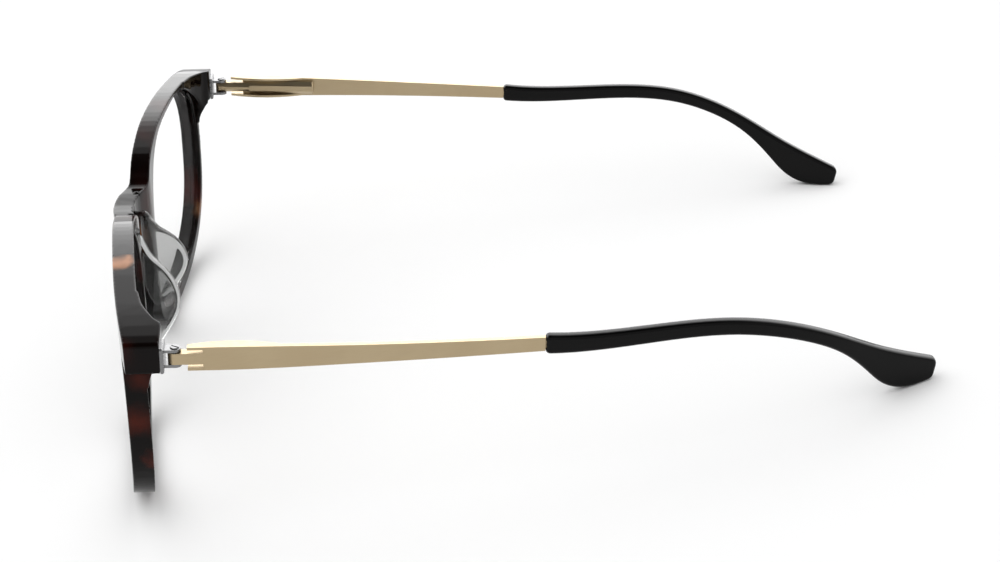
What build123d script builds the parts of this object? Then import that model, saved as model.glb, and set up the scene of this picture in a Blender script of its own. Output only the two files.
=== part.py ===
from build123d import *
import os
from math import cos, radians, sin, sqrt, tan

# A pair of optical spectacles: an acetate front, clear nose pads, metal temples and acetate tips.
# Everything is drawn as the spectacles are worn, in millimetres: +X is the wearer's left, +Y runs
# back towards the ears, +Z is up, and the origin is midway between the two hinges, at the height of
# the temple arms. The left-hand pieces are drawn and the right-hand ones mirror them. At the end
# every piece is tipped down at the back, so that the rims and the tips stand on the table, z = 0.

# Front
FRONT_Y = -17.3          # front surface at the middle of the bridge
FRONT_LEAN = 1.47        # degrees that the top of the front leans forward
FRONT_THICK = 3.9
FRONT_WRAP = ((0, 0), (5, 0.7), (9.3, 2.05), (13, 2.3), (22, 2.8), (34, 4.05), (56, 6.95), (66, 8.95),
              (72, 10.3))        # how it curves back, the bridge most
EYE_X = 33.9             # centre of each lens opening
EYE_Z = -15.06
EYE_TEMPLE = 26.2        # half width of the opening, on its temple side
EYE_NOSE = 21.0          # half width of the opening, on its nose side
EYE_HALF_HEIGHT = 20.6
EYE_TAPER = 0.021        # how much narrower the opening is lower down
EYE_LIFT = 0.038         # how much the opening rises towards the temple
RIM_TEMPLE = 1.4
RIM_NOSE_TOP = 4.4
RIM_NOSE_BOTTOM = 2.6
RIM_TOP = 1.7
RIM_BOTTOM = 2.8
TOP_EDGE = ((0, -0.7), (5, -0.4), (8.3, -0.35), (9.5, 0.1), (10.3, 0.9), (11, 1.65), (12, 2.5), (13, 3.1),
            (15, 3.95), (17, 4.6), (19, 5.15), (22, 5.95), (26, 6.65), (30, 6.95), (34, 7.0), (38, 6.9),
            (42, 6.65), (46, 6.25), (50, 5.8), (54, 5.35), (58, 4.85), (61, 4.3), (63.5, 3.7),
            (65.5, 3.1))         # top edge from the bridge to the end piece, seen from the front
DIMPLE_X = 5.15          # small pits on the top of the bridge
DIMPLE_Y = -13.3
DIMPLE_Z = -0.9
DIMPLE_WIDTH = 1.4

# End pieces, where the hinges are let in
END_X = 66.0
END_CORNER = 2.6         # where the bevelled top corner meets the side
END_BOTTOM = -2.45
END_REAR_Y = -2.4
END_RAMP = ((61.0, END_REAR_Y), (59.1, -3.6), (57.6, -4.6), (54.7, -6.1), (50.5, -7.2))   # (x, y) behind

# Nose side of the rims, and the clear pads glued to it
NOSE_WALL_X = 10.5       # wall plane, at the pad's rearmost point
NOSE_WALL_Y = -4.2
NOSE_WALL_Z = -16.9
NOSE_SPLAY = 0.15        # the wall opens towards the back, mm per mm
NOSE_FLARE = 0.22        # and towards the bottom
ARCH_TOP_FRONT = -7.6    # underside of the bridge, a little in front of it and well behind it
ARCH_TOP_REAR = -1.6
ARCH_RADIUS = 2.6
PAD_THICK = 2.0
PAD_REAR_EDGE = ((-12.8, -3.0), (-10.7, -6.2), (-9.3, -8.5), (-7.2, -10.4), (-5.2, -13.0), (-4.2, -16.6),
                 (-4.7, -19.4), (-6.0, -22.0), (-7.8, -24.8), (-11.0, -28.5))
PAD_FRONT_EDGE = ((-12.8, -3.0), (-13.0, -8.0), (-13.0, -16.0), (-12.8, -24.0), (-11.0, -28.5))
PAD_SOFTENING = 0.8

# Lenses
LENS_RADIUS = 265.0
LENS_TURN = 0.118        # how far each lens faces outwards
LENS_BACK = 4.9          # lens centre, behind the front of the bridge
LENS_THICK = 1.8
LENS_SEAT = 0.5          # how far a lens reaches into the groove
LENS_PLAY = 0.04

# Hinges
HINGE_X = 63.5
PLATE_THICK = 0.62
PLATE_WIDTH = 4.4
PLATE_HEIGHT = 4.8
LUG_GAP = 2.3
LUG_THICK = 0.55
LUG_RADIUS = 1.1
STUD_RADIUS = 0.7
STUD_LENGTH = 2.4
STUD_SPREAD = 2.6
SCREW_RADIUS = 0.5
SCREW_HEAD_RADIUS = 0.8
SCREW_HEAD_HEIGHT = 0.2
SLOT_WIDTH = 0.3
SLOT_DEPTH = 0.13
HOLE_PLAY = 0.03

# Temple arm: knuckle, tongue and bar in one piece
KNUCKLE_RADIUS = 1.25
TONGUE_HEIGHT = 2.1
TONGUE_BEVEL = 0.7
BAR_HEIGHT = 2.9
BAR_BEVEL = 0.85
BAR_START_Y = 6.3
BAR_END_Y = 20.7
ARM_DEPTH = 2.45         # inner face of the arm, behind the blade's outer face

# Temple blade: its outer face is one long arc seen from above
BOW_RADIUS = 677.0
BOW_X = -612.1
BOW_Y = -14.3
BLADE_WALL = 0.95
BLADE_START_Y = 2.15
NOTCH_END_Y = 4.8
FLANGE_THICK = 0.5
FLANGE_START_DEPTH = 1.25
FLANGE_DEPTH = 2.3
FLANGE_PEAK_Y = 8.3
FLANGE_END_Y = 19.5
BLADE_HALF_HEIGHTS = ((BLADE_START_Y, 2.2), (13.0, 2.17), (28.0, 1.85), (45.0, 1.55), (66.0, 1.3))

# Temple tip: a straight sleeve, then a drop behind the ear to a flat paddle
TIP_START_Y = 63.6
TIP_START_X = 59.85
TIP_BEND_X = 55.3
TIP_BEND_Y = 110.0
TIP_END_X = 43.2
TIP_END_Y = 138.4
TIP_BEND_RADIUS = 76.0
TIP_THICK = 2.3
TIP_SOFTENING = 0.75
CORE_THICK = 1.0
CORE_HEIGHT = 1.6
CORE_START_Z = -0.15
CORE_END_Y = 98.0
CORE_END_Z = 0.95
TIP_TOP = ((63.6, 1.8), (82, 2.15), (100.5, 2.4), (109.5, 0.4), (118, -3.1), (126, -7.2), (134, -10.6),
           (138.2, -12.2))
TIP_BOTTOM = ((63.6, -1.85), (82, -0.95), (100.5, -0.5), (109.5, -2.5), (118, -6.6), (123.6, -11.6),
              (127.5, -15.2), (130.5, -16.5), (134, -16.7), (137.6, -16.0))

REST_TIP = 8.61           # degrees that the worn position is tipped back to stand on the table


def plane_along_front(depth=0.0):
    """The plane of the front, moved back by depth: local x is +X and local y runs up the front."""
    lean = radians(FRONT_LEAN)
    origin = (0, FRONT_Y + depth * cos(lean), depth * sin(lean))
    return Plane(origin=origin, x_dir=(1, 0, 0), z_dir=(0, -cos(lean), -sin(lean)))


def plane_across_front():
    """The plane that slices the front level: local x is +X and local y runs back."""
    lean = radians(FRONT_LEAN)
    return Plane(origin=(0, FRONT_Y, 0), x_dir=(1, 0, 0), z_dir=(0, -sin(lean), cos(lean)))


def power(value, exponent):
    """A power that keeps the sign of its base."""
    return abs(value) ** exponent * (1 if value >= 0 else -1)


def eye_points(temple, nose_top, nose_bottom, top, bottom, count=32):
    """Points round an eye shape, a squared ellipse that narrows downwards, grown on each side."""
    points = []
    for index in range(count):
        turn = radians(360 * index / count)
        height = EYE_HALF_HEIGHT + (top if sin(turn) > 0 else bottom)
        up = height * power(sin(turn), 0.757)
        share = 0.5 + 0.5 * up / height
        nose = nose_bottom + share * (nose_top - nose_bottom)
        width = EYE_TEMPLE + temple if cos(turn) > 0 else EYE_NOSE + nose
        across = width * power(cos(turn), 0.69)
        across = across * (1 + EYE_TAPER * up / (2 * EYE_HALF_HEIGHT))
        points.append((EYE_X + across, EYE_Z + up + EYE_LIFT * across))
    return points


def eye_shape(temple, nose_top, nose_bottom, top, bottom):
    """The eye shape of the left rim as a flat sketch, grown on each side."""
    with BuildSketch() as shape:
        with BuildLine():
            Spline(*eye_points(temple, nose_top, nose_bottom, top, bottom), periodic=True)
        make_face()
    return shape.sketch


def nose_wall_x(y, z):
    """How far out the nose side of the left rim is."""
    return NOSE_WALL_X + NOSE_SPLAY * (y - NOSE_WALL_Y) - NOSE_FLARE * (z - NOSE_WALL_Z)


def make_nose_cut():
    """The space for the nose: an arch that opens towards the back and the bottom."""
    with BuildPart() as cut:
        for depth, top in ((-4.0, ARCH_TOP_FRONT), (16.0, ARCH_TOP_REAR)):
            section_plane = plane_along_front(depth)
            corners = []
            for height in (top, -60.0):
                level = section_plane.from_local_coords((0, height))
                corners.append((nose_wall_x(level.Y, level.Z), height))
            with BuildSketch(section_plane) as section:
                with BuildLine():
                    Polyline(corners[0], corners[1], (-corners[1][0], -60.0), (-corners[0][0], top),
                             close=True)
                make_face()
                fillet(section.vertices().group_by(Axis.Y)[-1], ARCH_RADIUS)
        loft()
    return cut


def make_end_block():
    """The thicker block behind the top outer corner of the left rim."""
    with BuildPart() as block:
        with BuildSketch(Plane.XY) as plan:
            with BuildLine():
                Line((END_X, END_REAR_Y), END_RAMP[0])
                Spline(*END_RAMP, tangents=((-1, 0), (-1, -0.25)))
                Polyline(END_RAMP[-1], (END_RAMP[-1][0], -9.0), (END_X, -8.0), (END_X, END_REAR_Y))
            make_face()
        extrude(amount=8, both=True)
        with BuildSketch(Plane.YZ):
            with BuildLine():
                Polyline((END_REAR_Y, END_BOTTOM), (END_REAR_Y, 8), (-9, 8), (-9, -7.5), (-5.0, -7.5))
                Spline((-5.0, -7.5), (-3.9, -4.0), (END_REAR_Y, END_BOTTOM), tangents=((0, 1), (1, 0.35)))
            make_face()
        extrude(amount=80, mode=Mode.INTERSECT)
    return block


def make_front_envelope():
    """The curved slab that the front is cut from, with both end blocks."""
    half = [(-x, back) for x, back in reversed(FRONT_WRAP[1:])]
    outer = half + list(FRONT_WRAP)
    inner = [(x, back + FRONT_THICK) for x, back in outer]
    block = make_end_block()
    with BuildPart() as envelope:
        with BuildSketch(plane_across_front()):
            with BuildLine():
                Spline(*outer)
                Spline(*inner)
                Line(outer[0], inner[0])
                Line(outer[-1], inner[-1])
            make_face()
        extrude(amount=60, both=True)
        add(block.part)
        mirror(block.part, about=Plane.YZ)
    return envelope


def make_dimple():
    """One three-cornered pit in the top of the bridge."""
    with BuildPart() as dimple:
        with BuildSketch(Plane.XY.offset(DIMPLE_Z)):
            with Locations((DIMPLE_X, DIMPLE_Y)):
                RegularPolygon(DIMPLE_WIDTH / 2, 3)
        extrude(amount=3)
    return dimple


def front_outline():
    """The outline of the front as a flat sketch, under one edge that runs along the top."""
    corner = TOP_EDGE[-1]
    with BuildSketch() as outline:
        add(eye_shape(RIM_TEMPLE, RIM_NOSE_TOP, RIM_NOSE_BOTTOM, RIM_TOP, RIM_BOTTOM))
        with BuildLine():
            Polyline((0, 9), (END_X, 9), (END_X, END_BOTTOM), (50, END_BOTTOM), (13, -4), (11, -17),
                     (0, -17), close=True)
        make_face()
        mirror(about=Plane.YZ)
        with BuildLine():
            Spline(*[(-x, z) for x, z in reversed(TOP_EDGE[1:])], *TOP_EDGE)
            Polyline(corner, (END_X, END_CORNER), (END_X, -60), (-END_X, -60), (-END_X, END_CORNER),
                     (-corner[0], corner[1]))
        make_face(mode=Mode.INTERSECT)
    return outline.sketch


def make_front_frame(lens_cut, hinge):
    """The acetate front: two rims, the bridge and the end pieces in one piece."""
    envelope = make_front_envelope()
    nose_cut = make_nose_cut()
    dimple = make_dimple()
    with BuildPart() as frame:
        with BuildSketch(plane_along_front()):
            add(front_outline())
        extrude(amount=20, both=True)
        add(envelope.part, mode=Mode.INTERSECT)
        with BuildSketch(plane_along_front()):
            add(eye_shape(0, 0, 0, 0, 0))
            mirror(about=Plane.YZ)
        extrude(amount=20, both=True, mode=Mode.SUBTRACT)
        add(nose_cut.part, mode=Mode.SUBTRACT)
        add(dimple.part, mode=Mode.SUBTRACT)
        mirror(dimple.part, about=Plane.YZ, mode=Mode.SUBTRACT)
        add(lens_cut.part, mode=Mode.SUBTRACT)
        mirror(lens_cut.part, about=Plane.YZ, mode=Mode.SUBTRACT)
        add(hinge.part, mode=Mode.SUBTRACT)
        mirror(hinge.part, about=Plane.YZ, mode=Mode.SUBTRACT)
    return frame


def make_lens(play):
    """A lens, or with some play the groove and opening that hold it."""
    slope = LENS_TURN
    vertex_y = FRONT_Y + LENS_BACK - play
    reach = LENS_RADIUS
    centre = (EYE_X - reach * slope, vertex_y + reach * sqrt(1 - slope * slope), EYE_Z + reach * 0.031)
    seat = LENS_SEAT + play
    with BuildPart() as lens:
        with BuildSketch(plane_along_front()):
            add(eye_shape(seat, seat, seat, seat, seat))
        extrude(amount=20, both=True)
        with Locations(centre):
            Sphere(reach, mode=Mode.INTERSECT)
            Sphere(reach - LENS_THICK - 2 * play, mode=Mode.SUBTRACT)
    return lens


def make_nose_pad(front_frame):
    """The left clear pad: a thin fin glued along the nose side of the rim."""
    wall_normal = Vector(1, -NOSE_SPLAY, NOSE_FLARE)
    wall = Plane(origin=(NOSE_WALL_X, NOSE_WALL_Y, NOSE_WALL_Z), z_dir=wall_normal)
    with BuildPart() as pad:
        with BuildSketch(Plane.YZ):
            with BuildLine():
                Spline(*PAD_REAR_EDGE)
                Spline(*PAD_FRONT_EDGE)
            make_face()
        extrude(amount=30)
        with BuildSketch(wall):
            Rectangle(100, 100)
        extrude(amount=-PAD_THICK, mode=Mode.INTERSECT)
        fillet(pad.edges(), PAD_SOFTENING)
        add(front_frame.part, mode=Mode.SUBTRACT)
    return pad


def make_screw():
    """The left hinge screw: a slotted cylinder head on a plain shank."""
    top = LUG_GAP / 2 + LUG_THICK
    with BuildPart() as screw:
        with BuildSketch(Plane.XY.offset(-top)):
            with Locations((HINGE_X, 0)):
                Circle(SCREW_RADIUS)
        extrude(amount=2 * top)
        with BuildSketch(Plane.XY.offset(top)):
            with Locations((HINGE_X, 0)):
                Circle(SCREW_HEAD_RADIUS)
        extrude(amount=SCREW_HEAD_HEIGHT)
        chamfer(screw.edges().group_by(Axis.Z)[-1], 0.07)
        with BuildSketch(Plane.XY.offset(top + SCREW_HEAD_HEIGHT)):
            with Locations((HINGE_X, 0)):
                Rectangle(3 * SCREW_HEAD_RADIUS, SLOT_WIDTH, rotation=60)
        extrude(amount=-SLOT_DEPTH, mode=Mode.SUBTRACT)
    return screw


def make_front_hinge():
    """The left silver hinge: a plate with two studs let into the end piece, and two lugs."""
    plate_y = END_REAR_Y + PLATE_THICK
    with BuildPart() as hinge:
        with BuildSketch(Plane.XZ.offset(-END_REAR_Y)):
            with Locations((HINGE_X, 0)):
                RectangleRounded(PLATE_WIDTH, PLATE_HEIGHT, 0.4)
        extrude(amount=-PLATE_THICK)
        chamfer(hinge.faces().sort_by(Axis.Y)[-1].edges(), 0.2)
        for level in (-LUG_GAP / 2 - LUG_THICK, LUG_GAP / 2):
            with BuildSketch(Plane.XY.offset(level)):
                with Locations((HINGE_X, 0)):
                    Circle(LUG_RADIUS)
                with Locations((HINGE_X, (plate_y - 0.3) / 2)):
                    Rectangle(2 * LUG_RADIUS, -(plate_y - 0.3))
            extrude(amount=LUG_THICK)
        with BuildSketch(Plane.XZ.offset(-END_REAR_Y)):
            with Locations((HINGE_X, STUD_SPREAD / 2), (HINGE_X, -STUD_SPREAD / 2)):
                Circle(STUD_RADIUS)
        extrude(amount=STUD_LENGTH)
        with BuildSketch(Plane.XY.offset(LUG_GAP / 2)):
            with Locations((HINGE_X, 0)):
                Circle(SCREW_RADIUS + HOLE_PLAY)
        extrude(amount=LUG_THICK, mode=Mode.SUBTRACT)
        with BuildSketch(Plane.XY.offset(-LUG_GAP / 2 - LUG_THICK)):
            with Locations((HINGE_X, 0)):
                Circle(SCREW_RADIUS)
        extrude(amount=LUG_THICK, mode=Mode.SUBTRACT)
    return hinge


def blade_x(y, depth=0.0):
    """How far out the blade is at y, at some depth behind its outer face."""
    return BOW_X + sqrt((BOW_RADIUS - depth) ** 2 - (y - BOW_Y) ** 2)


def blade_arc(start, end, depth=0.0):
    """Three points of the blade's outer face seen from above, or of a line behind it."""
    middle = (start + end) / 2
    return [(blade_x(y, depth), y) for y in (start, middle, end)]


def make_arm_bar():
    """The thicker rear length of the left arm, with its inner corners cut off."""
    with BuildPart() as bar:
        with BuildSketch(Plane.XY.offset(-BAR_HEIGHT / 2)):
            with BuildLine():
                ThreePointArc(*blade_arc(BAR_START_Y, BAR_END_Y, BLADE_WALL))
                ThreePointArc(*blade_arc(BAR_START_Y, BAR_END_Y, ARM_DEPTH))
                for y in (BAR_START_Y, BAR_END_Y):
                    Line((blade_x(y, BLADE_WALL), y), (blade_x(y, ARM_DEPTH), y))
            make_face()
        extrude(amount=BAR_HEIGHT)
        inner_face = bar.faces().sort_by(Axis.X)[0]
        chamfer(inner_face.edges().filter_by(lambda edge: abs(edge.center().Z) > 0.1), BAR_BEVEL)
        chamfer(bar.faces().sort_by(Axis.Y)[-1].edges(), 0.3)
    return bar


def make_hinge_arm():
    """The left arm: the knuckle on the hinge pin, a tongue, and a thicker bar soldered to the blade."""
    bar = make_arm_bar()
    inner_x = HINGE_X - KNUCKLE_RADIUS
    outer_x = HINGE_X + KNUCKLE_RADIUS
    half = TONGUE_HEIGHT / 2
    flat = half - TONGUE_BEVEL - 0.2
    with BuildPart() as arm:
        with BuildSketch(Plane.XY.offset(-TONGUE_HEIGHT / 2)):
            with BuildLine():
                ThreePointArc((outer_x, 0), (HINGE_X, -KNUCKLE_RADIUS), (inner_x, 0))
                Polyline(
                    (outer_x, 0), (blade_x(NOTCH_END_Y), NOTCH_END_Y),
                    (blade_x(NOTCH_END_Y, BLADE_WALL), NOTCH_END_Y),
                    (blade_x(BAR_START_Y, BLADE_WALL), BAR_START_Y),
                    (blade_x(BAR_START_Y, ARM_DEPTH), BAR_START_Y), (inner_x, 0),
                )
            make_face()
        extrude(amount=TONGUE_HEIGHT)
        with BuildSketch(Plane.XZ):
            with BuildLine():
                Polyline(
                    (outer_x + 1, half), (inner_x + TONGUE_BEVEL, half), (inner_x - 0.2, flat),
                    (inner_x - 0.2, -flat), (inner_x + TONGUE_BEVEL, -half), (outer_x + 1, -half),
                    close=True,
                )
            make_face()
        extrude(amount=10, both=True, mode=Mode.INTERSECT)
        add(bar.part)
        with BuildSketch(Plane.XY.offset(-TONGUE_HEIGHT)):
            with Locations((HINGE_X, 0)):
                Circle(SCREW_RADIUS + HOLE_PLAY)
        extrude(amount=2 * TONGUE_HEIGHT, mode=Mode.SUBTRACT)
    return arm


def make_core(play=0.0):
    """The straight end of the left blade, hidden inside the tip."""
    start = Vector(TIP_START_X, TIP_START_Y, CORE_START_Z)
    slope = (TIP_BEND_X - TIP_START_X) / (TIP_BEND_Y - TIP_START_Y)
    end = Vector(TIP_START_X + slope * (CORE_END_Y - TIP_START_Y), CORE_END_Y, CORE_END_Z)
    run = end - start
    with BuildPart() as core:
        with BuildSketch(Plane(origin=start, x_dir=(1, -slope, 0), z_dir=run)):
            Rectangle(CORE_THICK + 2 * play, CORE_HEIGHT + 2 * play)
        extrude(amount=run.length + play)
    return core


def make_temple_blade(core):
    """The left metal blade, folded over at its front into two short flanges that hold the arm."""
    with BuildPart() as blade:
        with BuildSketch(Plane.XY):
            with BuildLine():
                ThreePointArc(*blade_arc(BLADE_START_Y, TIP_START_Y))
                ThreePointArc(*blade_arc(BLADE_START_Y, TIP_START_Y, BLADE_WALL))
                for y in (BLADE_START_Y, TIP_START_Y):
                    Line((blade_x(y), y), (blade_x(y, BLADE_WALL), y))
            make_face()
            with BuildLine():
                ThreePointArc(*blade_arc(BLADE_START_Y, FLANGE_END_Y, BLADE_WALL / 2))
                Line((blade_x(BLADE_START_Y, BLADE_WALL / 2), BLADE_START_Y),
                     (blade_x(BLADE_START_Y, FLANGE_START_DEPTH), BLADE_START_Y))
                Spline(
                    (blade_x(BLADE_START_Y, FLANGE_START_DEPTH), BLADE_START_Y),
                    (blade_x(FLANGE_PEAK_Y, FLANGE_DEPTH), FLANGE_PEAK_Y),
                    (blade_x(FLANGE_END_Y, BLADE_WALL / 2), FLANGE_END_Y),
                )
            make_face()
        extrude(amount=4, both=True)
        with BuildSketch(Plane.YZ):
            with BuildLine():
                Spline(*[(y, half) for y, half in BLADE_HALF_HEIGHTS])
                Spline(*[(y, -half) for y, half in BLADE_HALF_HEIGHTS])
                for y, half in (BLADE_HALF_HEIGHTS[0], BLADE_HALF_HEIGHTS[-1]):
                    Line((y, half), (y, -half))
            make_face()
        extrude(amount=80, mode=Mode.INTERSECT)
        channel = BLADE_HALF_HEIGHTS[0][1] - FLANGE_THICK
        with BuildSketch(Plane.XY.offset(-channel)):
            with BuildLine():
                ThreePointArc(*blade_arc(0, 25, BLADE_WALL))
                Polyline((blade_x(0, BLADE_WALL), 0), (50, 0), (50, 25), (blade_x(25, BLADE_WALL), 25))
            make_face()
            with Locations((HINGE_X, NOTCH_END_Y / 2)):
                Rectangle(10, NOTCH_END_Y)
        extrude(amount=2 * channel, mode=Mode.SUBTRACT)
        add(core.part)
    return blade


def parallel_path(path, distance):
    """The corners of a path moved sideways, square to its runs."""
    moved = []
    for index, point in enumerate(path):
        before = Vector(*path[max(index - 1, 0)])
        after = Vector(*path[min(index + 1, len(path) - 1)])
        here = Vector(*point)
        runs = [run.normalized() for run in (here - before, after - here) if run.length > 0]
        sides = [Vector(run.Y, -run.X) for run in runs]
        side = sides[0] if len(sides) == 1 else (sides[0] + sides[1]) / (1 + sides[0].dot(sides[1]))
        moved.append((here.X + distance * side.X, here.Y + distance * side.Y))
    return moved


def make_temple_tip(core):
    """The left acetate tip, hollowed for the blade's core."""
    path = [(TIP_START_X, TIP_START_Y), (TIP_BEND_X, TIP_BEND_Y), (TIP_END_X, TIP_END_Y + 2)]
    outer = parallel_path(path, TIP_THICK / 2)
    inner = parallel_path(path, -TIP_THICK / 2)
    with BuildPart() as tip:
        with BuildSketch(Plane.XY):
            with BuildLine():
                FilletPolyline(*outer, radius=TIP_BEND_RADIUS)
                FilletPolyline(*inner, radius=TIP_BEND_RADIUS)
                Line(outer[0], inner[0])
                Line(outer[-1], inner[-1])
            make_face()
        extrude(amount=30, both=True)
        with BuildSketch(Plane.YZ) as side:
            with BuildLine():
                Spline(*TIP_TOP)
                Spline(*TIP_BOTTOM)
                Line(TIP_TOP[0], TIP_BOTTOM[0])
                Line(TIP_TOP[-1], TIP_BOTTOM[-1])
            make_face()
            fillet(side.vertices().group_by(Axis.X)[-2:], 1.4)
        extrude(amount=80, mode=Mode.INTERSECT)
        fillet(tip.edges(), TIP_SOFTENING)
        add(core.part, mode=Mode.SUBTRACT)
    return tip


def mirrored(piece):
    """The right-hand twin of a left-hand piece."""
    with BuildPart() as twin:
        mirror(piece.part, about=Plane.YZ)
    return twin


def resting_place(pieces):
    """The move that tips the worn position back and sets it down on z = 0, centred on the origin."""
    tipped = Compound([piece.part for piece in pieces.values()]).rotate(Axis.X, -REST_TIP)
    box = tipped.bounding_box()
    middle = box.center()
    return Location((-middle.X, -middle.Y, -box.min.Z)) * Location((0, 0, 0), (-REST_TIP, 0, 0))


lens_cut = make_lens(LENS_PLAY)
front_hinge = make_front_hinge()
front_frame = make_front_frame(lens_cut, front_hinge)
core = make_core()
left = {
    "lens": make_lens(0),
    "nose_pad": make_nose_pad(front_frame),
    "front_hinge": front_hinge,
    "hinge_screw": make_screw(),
    "hinge_arm": make_hinge_arm(),
    "temple_blade": make_temple_blade(core),
    "temple_tip": make_temple_tip(core),
}
pieces = {"front_frame": front_frame}
for name, piece in left.items():
    pieces[name + "_left"] = piece
    pieces[name + "_right"] = mirrored(piece)

place = resting_place(pieces)
print("hinge axis starts at", place * Pos(HINGE_X, 0, 0))
os.makedirs("parts", exist_ok=True)
for name, piece in pieces.items():
    piece.part = piece.part.moved(place)
    piece.part.label = name
    export_step(piece.part, f"parts/{name}.step")
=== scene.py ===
import math

import bpy
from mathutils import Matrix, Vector


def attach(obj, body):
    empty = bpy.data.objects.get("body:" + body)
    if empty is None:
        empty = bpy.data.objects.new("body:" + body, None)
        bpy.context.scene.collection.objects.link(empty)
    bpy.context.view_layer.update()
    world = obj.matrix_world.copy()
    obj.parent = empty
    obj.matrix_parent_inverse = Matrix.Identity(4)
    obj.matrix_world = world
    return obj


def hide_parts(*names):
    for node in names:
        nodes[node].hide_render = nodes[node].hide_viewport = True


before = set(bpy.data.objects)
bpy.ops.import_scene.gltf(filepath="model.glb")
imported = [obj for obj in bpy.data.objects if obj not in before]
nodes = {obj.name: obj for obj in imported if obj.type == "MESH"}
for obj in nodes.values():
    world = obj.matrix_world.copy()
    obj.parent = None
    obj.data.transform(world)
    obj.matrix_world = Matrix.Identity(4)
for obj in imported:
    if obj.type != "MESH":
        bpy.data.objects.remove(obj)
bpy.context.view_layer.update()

# All lengths are in metres, in the frame of the CAD nodes: +X is the wearer's left, the front of the
# spectacles faces -Y, and they stand open on the table, z = 0.
SIDES = ("left", "right")

# How finely each acetate or plastic piece is remeshed, and how many smoothing rounds soften its edges
FRONT_POLISH = (0.00015, 12)
TIP_POLISH = (0.00016, 6)
PAD_POLISH = (0.00018, 5)

# Colours, linear
AMBER = (0.40, 0.18, 0.085)
AMBER_FLECK = (0.30, 0.11, 0.035)
OXBLOOD = (0.060, 0.008, 0.003)
OXBLOOD_CLOUD = (0.030, 0.0036, 0.0020)
TORTOISE_GROUND = (0.0026, 0.0014, 0.0012)
BLACK = (0.0012, 0.0012, 0.0012)
BLACK_LIGHTER = (0.0024, 0.0022, 0.0022)
GOLD = (0.435, 0.347, 0.220)
GOLD_SHADE = (0.415, 0.327, 0.205)
SILVER = (0.215, 0.215, 0.215)
SILVER_SHADE = (0.185, 0.185, 0.19)
PAD_TINT = (0.48, 0.485, 0.48)
LENS_TINT = (1.0, 1.0, 1.0)
FLOOR_WHITE = (0.9, 0.9, 0.9)

# Set patches of the tortoiseshell: (centre, radius, colour)
PATCHES = (
    ((0.0412, -0.0692, 0.0452), 0.0034, AMBER),
    ((0.0410, -0.0668, 0.0450), 0.0024, AMBER),
    ((-0.0582, -0.0648, 0.0102), 0.0050, AMBER),
    ((0.0618, -0.0655, 0.0325), 0.0040, OXBLOOD),
    ((0.0612, -0.0665, 0.0235), 0.0044, OXBLOOD),
    ((0.0597, -0.0655, 0.0150), 0.0034, OXBLOOD),
)
PATCH_DRIFT = 0.005      # how far the noise moves a patch's edge, in all

# Stage
FLOOR_REACH = 6.0
SOFTBOXES = (            # (name, place, width, power)
    ("key", (-0.25, -0.65, 0.75), 1.4, 4.0),
    ("overhead", (0.05, 0.10, 1.0), 4.0, 59.0),
)

# The studio seen in reflections: brightness by height, from level with the floor (0) to overhead (1),
# times a strength that falls from one side of the room to the other
STUDIO_HEIGHTS = ((0.42, 0.85), (0.56, 0.85), (0.67, 0.50), (0.75, 0.52), (0.84, 0.34), (0.90, 0.02))
STUDIO_LOWEST = 0.6
STUDIO_HIGHEST = 0.02
STUDIO_SIDES = (-0.5, 0.2, 5.0, 0.9)      # from this X to this X, from this strength to this one

# Camera
CAMERA_PLACE = (0.36957, 0.00018, 0.19706)
CAMERA_TURN = (62.909, 7.297, 86.526)     # degrees
CAMERA_FOCAL_LENGTH = 73.08               # millimetres


# ---------------------------------------------------------------- materials

def new_material(name):
    """An empty node material: (material, its nodes, its links, its Principled shader)."""
    material = bpy.data.materials.new(name)
    material.use_nodes = True
    tree = material.node_tree
    return material, tree.nodes, tree.links, tree.nodes["Principled BSDF"]


def set_shader(shader, **values):
    """Sets the shader's sockets by name; an underscore in a keyword stands for a space."""
    for key, value in values.items():
        shader.inputs[key.replace("_", " ")].default_value = value


def object_noise(ns, links, scale, detail=2.0, stretch=(1, 1, 1), offset=(0, 0, 0)):
    """A noise texture in the part's own coordinates, in features per metre."""
    coord = ns.new("ShaderNodeTexCoord")
    mapping = ns.new("ShaderNodeMapping")
    mapping.inputs["Scale"].default_value = stretch
    mapping.inputs["Location"].default_value = offset
    noise = ns.new("ShaderNodeTexNoise")
    noise.inputs["Scale"].default_value = scale
    noise.inputs["Detail"].default_value = detail
    links.new(coord.outputs["Object"], mapping.inputs["Vector"])
    links.new(mapping.outputs["Vector"], noise.inputs["Vector"])
    return noise.outputs["Fac"]


def remap(ns, links, source, low, high, to_low, to_high):
    """A value mapped smoothly from one range to another."""
    node = ns.new("ShaderNodeMapRange")
    node.interpolation_type = "SMOOTHSTEP"
    for name, value in (("From Min", low), ("From Max", high), ("To Min", to_low), ("To Max", to_high)):
        node.inputs[name].default_value = value
    links.new(source, node.inputs["Value"])
    return node.outputs["Result"]


def mix_colour(ns, links, factor, first, second):
    """Two colours mixed by a factor; each may be a socket or a tuple."""
    node = ns.new("ShaderNodeMix")
    node.data_type = "RGBA"
    links.new(factor, node.inputs["Factor"])
    for index, colour in ((6, first), (7, second)):
        if isinstance(colour, tuple):
            node.inputs[index].default_value = colour + (1.0,)
        else:
            links.new(colour, node.inputs[index])
    return node.outputs[2]


def add_bump(ns, links, shader, height, distance, strength):
    """A bump of that depth, in metres, under the shader."""
    bump = ns.new("ShaderNodeBump")
    bump.inputs["Distance"].default_value = distance
    bump.inputs["Strength"].default_value = strength
    links.new(height, bump.inputs["Height"])
    links.new(bump.outputs["Normal"], shader.inputs["Normal"])


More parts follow.
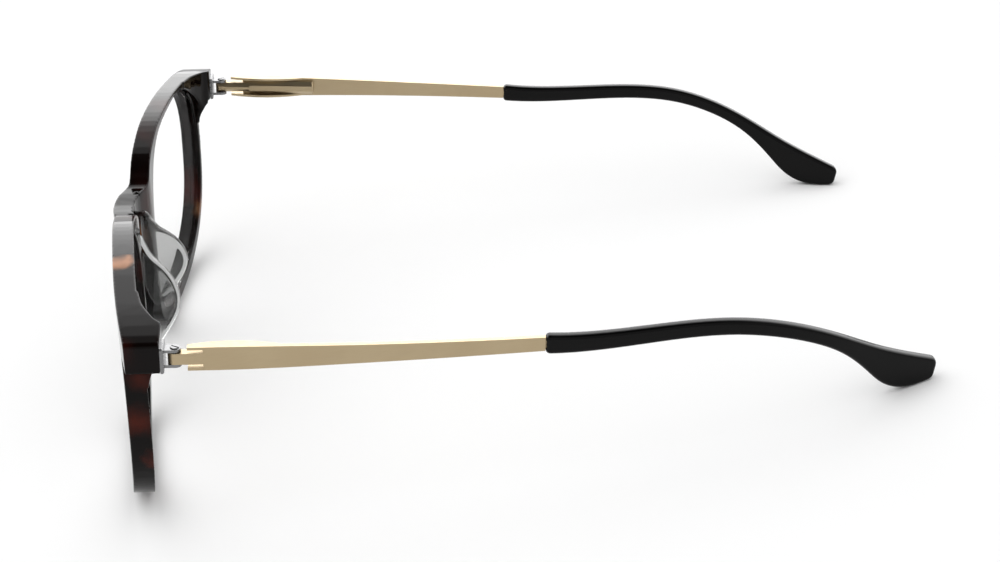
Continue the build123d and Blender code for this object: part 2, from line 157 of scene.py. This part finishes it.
def spot(ns, links, centre, size):
    """1 at a point of the object and 0 beyond the size round it, with a soft, wandering edge."""
    coord = ns.new("ShaderNodeTexCoord")
    noise = ns.new("ShaderNodeTexNoise")
    noise.inputs["Scale"].default_value = 230
    noise.inputs["Detail"].default_value = 2.0
    drift = ns.new("ShaderNodeVectorMath")
    drift.operation = "MULTIPLY_ADD"
    drift.inputs[1].default_value = (PATCH_DRIFT,) * 3
    drift.inputs[2].default_value = [-PATCH_DRIFT / 2 - value for value in centre]
    moved = ns.new("ShaderNodeVectorMath")
    moved.operation = "ADD"
    away = ns.new("ShaderNodeVectorMath")
    away.operation = "LENGTH"
    links.new(coord.outputs["Object"], noise.inputs["Vector"])
    links.new(noise.outputs["Color"], drift.inputs[0])
    links.new(drift.outputs["Vector"], moved.inputs[0])
    links.new(coord.outputs["Object"], moved.inputs[1])
    links.new(moved.outputs["Vector"], away.inputs[0])
    return remap(ns, links, away.outputs["Value"], size * 0.1, size, 1.0, 0.0)


def tortoiseshell(patches):
    """Polished acetate: almost black brown with dark red clouds, amber flecks and set patches."""
    material, ns, links, shader = new_material("tortoiseshell_acetate")
    red = remap(ns, links, object_noise(ns, links, 42, 2.5, offset=(0.3, 0, 0)), 0.53, 0.66, 0, 1)
    amber = remap(ns, links, object_noise(ns, links, 36, 2.0, offset=(0, 0.7, 0.2)), 0.66, 0.76, 0, 0.8)
    colour = mix_colour(ns, links, red, TORTOISE_GROUND, OXBLOOD_CLOUD)
    colour = mix_colour(ns, links, amber, colour, AMBER_FLECK)
    for centre, size, tone in patches:
        colour = mix_colour(ns, links, spot(ns, links, centre, size), colour, tone)
    links.new(colour, shader.inputs["Base Color"])
    rough = remap(ns, links, object_noise(ns, links, 900, 3), 0.3, 0.7, 0.05, 0.085)
    links.new(rough, shader.inputs["Roughness"])
    set_shader(shader, IOR=1.21)
    return material


def black_acetate():
    """Polished black acetate with the faintest polishing haze."""
    material, ns, links, shader = new_material("black_acetate")
    shade = remap(ns, links, object_noise(ns, links, 60, 2), 0.3, 0.7, 0, 1)
    links.new(mix_colour(ns, links, shade, BLACK, BLACK_LIGHTER), shader.inputs["Base Color"])
    rough = remap(ns, links, object_noise(ns, links, 700, 3), 0.3, 0.7, 0.07, 0.12)
    links.new(rough, shader.inputs["Roughness"])
    set_shader(shader, IOR=1.22)
    return material


def satin_metal(name, colour, shade, rough_low, rough_high, grain):
    """Fine-brushed plated metal, brushed along the arm."""
    material, ns, links, shader = new_material(name)
    set_shader(shader, Metallic=1.0)
    brushed = object_noise(ns, links, grain, 4, stretch=(1, 0.04, 1))
    cloud = object_noise(ns, links, 90, 2)
    links.new(mix_colour(ns, links, remap(ns, links, cloud, 0.3, 0.7, 0, 1), colour, shade),
              shader.inputs["Base Color"])
    links.new(remap(ns, links, brushed, 0.3, 0.7, rough_low, rough_high), shader.inputs["Roughness"])
    add_bump(ns, links, shader, brushed, 0.000004, 0.35)
    return material


def clear_plastic(name, tint, roughness, alpha):
    """Clear moulded plastic or lens material."""
    material, ns, links, shader = new_material(name)
    haze = remap(ns, links, object_noise(ns, links, 500, 2), 0.3, 0.7, roughness, roughness * 1.6)
    links.new(haze, shader.inputs["Roughness"])
    set_shader(shader, Base_Color=tint + (1.0,), Transmission_Weight=1.0, IOR=1.47, Alpha=alpha)
    return material


def paint(piece, material):
    """Gives a piece this material alone."""
    piece.data.materials.clear()
    piece.data.materials.append(material)


# ---------------------------------------------------------------- pieces

def polished(node, body, slot, voxel, rounds):
    """A finer copy of a CAD node with its edges softened, as tumbling and polishing leave them."""
    piece = bpy.data.objects.new(node + "_polished", nodes[node].data.copy())
    bpy.context.scene.collection.objects.link(piece)
    remesh = piece.modifiers.new("remesh", "REMESH")
    remesh.mode = "VOXEL"
    remesh.voxel_size = voxel
    remesh.use_smooth_shade = True
    smooth = piece.modifiers.new("smooth", "SMOOTH")
    smooth.factor = 0.5
    smooth.iterations = rounds
    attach(piece, body)
    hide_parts(node)
    return piece


acetate = tortoiseshell(PATCHES)
black = black_acetate()
gold = satin_metal("champagne_gold", GOLD, GOLD_SHADE, 0.30, 0.42, 5200)
silver = satin_metal("satin_silver", SILVER, SILVER_SHADE, 0.22, 0.34, 6000)
pad_clear = clear_plastic("clear_pad", PAD_TINT, 0.012, 1.0)
lens_clear = clear_plastic("clear_lens", LENS_TINT, 0.01, 0.03)

paint(polished("front_frame", "front", "front", *FRONT_POLISH), acetate)
for side in SIDES:
    paint(polished("temple_tip_" + side, side + "_temple", "tip", *TIP_POLISH), black)
    paint(polished("nose_pad_" + side, "front", "nose_pad", *PAD_POLISH), pad_clear)
    paint(nodes["lens_" + side], lens_clear)
    paint(nodes["front_hinge_" + side], silver)
    paint(nodes["hinge_screw_" + side], silver)
    paint(nodes["hinge_arm_" + side], gold)
    paint(nodes["temple_blade_" + side], gold)


# ---------------------------------------------------------------- stage, light and camera

floor_mesh = bpy.data.meshes.new("floor")
corners = [(x * FLOOR_REACH, y * FLOOR_REACH, 0) for x, y in ((-1, -1), (1, -1), (1, 1), (-1, 1))]
floor_mesh.from_pydata(corners, [], [(0, 1, 2, 3)])
floor = bpy.data.objects.new("floor", floor_mesh)
bpy.context.scene.collection.objects.link(floor)
floor_paint, _, _, floor_shader = new_material("white_floor")
set_shader(floor_shader, Base_Color=FLOOR_WHITE + (1.0,), Roughness=0.9, Specular_IOR_Level=0.0)
paint(floor, floor_paint)


def soft_light(name, place, width, power):
    """A square softbox at a place, facing the origin and left out of reflections."""
    data = bpy.data.lights.new(name, "AREA")
    data.size = width
    data.energy = power
    light = bpy.data.objects.new(name, data)
    light.location = place
    light.rotation_euler = (-Vector(place)).to_track_quat("-Z", "Y").to_euler()
    light.visible_glossy = False
    bpy.context.scene.collection.objects.link(light)


def add_studio():
    """The surroundings that show in reflections; they cast no light on the floor."""
    world = bpy.data.worlds.new("studio")
    world.use_nodes = True
    world.cycles_visibility.diffuse = False
    bpy.context.scene.world = world
    ns, links = world.node_tree.nodes, world.node_tree.links
    direction = ns.new("ShaderNodeTexCoord")
    split = ns.new("ShaderNodeSeparateXYZ")
    height = ns.new("ShaderNodeValToRGB")
    links.new(direction.outputs["Generated"], split.inputs["Vector"])
    links.new(split.outputs["Z"], height.inputs["Fac"])
    elements = height.color_ramp.elements
    elements[0].color = (STUDIO_LOWEST, STUDIO_LOWEST, STUDIO_LOWEST, 1)
    elements[1].color = (STUDIO_HIGHEST, STUDIO_HIGHEST, STUDIO_HIGHEST, 1)
    for position, value in STUDIO_HEIGHTS:
        elements.new(position).color = (value, value, value, 1)
    background = ns["Background"]
    links.new(height.outputs["Color"], background.inputs["Color"])
    links.new(remap(ns, links, split.outputs["X"], *STUDIO_SIDES), background.inputs["Strength"])


for softbox in SOFTBOXES:
    soft_light(*softbox)
add_studio()

camera_data = bpy.data.cameras.new("camera")
camera_data.lens = CAMERA_FOCAL_LENGTH
camera_data.clip_start = 0.01
camera = bpy.data.objects.new("camera", camera_data)
camera.location = CAMERA_PLACE
camera.rotation_euler = [math.radians(angle) for angle in CAMERA_TURN]
bpy.context.scene.collection.objects.link(camera)
bpy.context.scene.camera = camera
bpy.context.scene.view_settings.view_transform = "Standard"
